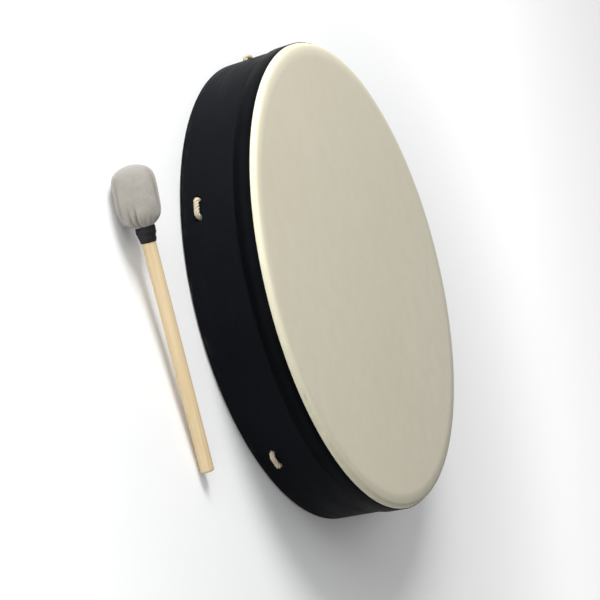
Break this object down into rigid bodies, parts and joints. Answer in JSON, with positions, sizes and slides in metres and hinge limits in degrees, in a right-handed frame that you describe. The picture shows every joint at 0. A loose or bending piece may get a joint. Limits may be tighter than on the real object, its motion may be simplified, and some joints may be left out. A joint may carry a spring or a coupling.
{
  "type": "bodhran frame drum with rope handle and beater",
  "caption": "Shallow round frame drum with a cream synthetic head, black shell, laced rope handle across the open back, and a padded beater lying beside it.",
  "frame": {"origin": "centre of the back rim's plane, on the drum's axis", "axes": "+Z from the open back towards the playing head; the drum lies on its back rim and the beater lies on the same surface on the -Y side; +Y points from the beater's side across the drum"},
  "size_m": [0.5589, 0.7067, 0.09],
  "materials": {
    "shell_fibre": "black-stained wood fibre",
    "wrap_black": "matte black textured wrap",
    "head_cream": "matte cream suede-like film",
    "hoop_metal": "plain mill finish",
    "collar_black": "smooth matte black band",
    "rope_tan": "twisted tan rope",
    "cord_dark": "waxed brown cord",
    "ring_steel": "plain round bar",
    "stick_wood": "light sanded hardwood dowel",
    "core_wood": "turned softwood core",
    "felt": "wound felt",
    "cover_cloth": "grey-beige chamois-like cloth",
    "tape_black": "black cloth tape"
  },
  "bodies": {
    "drum": {"shell": "shell_fibre", "shell_wrap": "wrap_black", "bearing_ring": "shell_fibre", "drumhead": "head_cream", "flesh_hoop": "hoop_metal", "collar_band": "collar_black", "rope_stitches": "rope_tan", "rope_spokes": "rope_tan", "rope_splice": "cord_dark"},
    "handle": {"rope_loops": "rope_tan", "handle_ring": "ring_steel", "ring_whipping": "cord_dark"},
    "beater": {"beater_handle": "stick_wood", "beater_core": "core_wood", "beater_padding": "felt", "beater_cover": "cover_cloth", "beater_tie": "cord_dark", "beater_binding": "tape_black"}
  },
  "joints": [
    {"name": "handle_pull", "type": "slide", "parent": "drum", "child": "handle", "axis": [0, 0, 1], "range_m": [-0.01, 0.01], "stiffness_N_per_m": 2500, "deforming": ["rope_spokes"]},
    {"name": "beater_lift", "type": "slide", "parent": "drum", "child": "beater", "axis": [0, 0, 1], "range_m": [0, 0.3]}
  ]
}
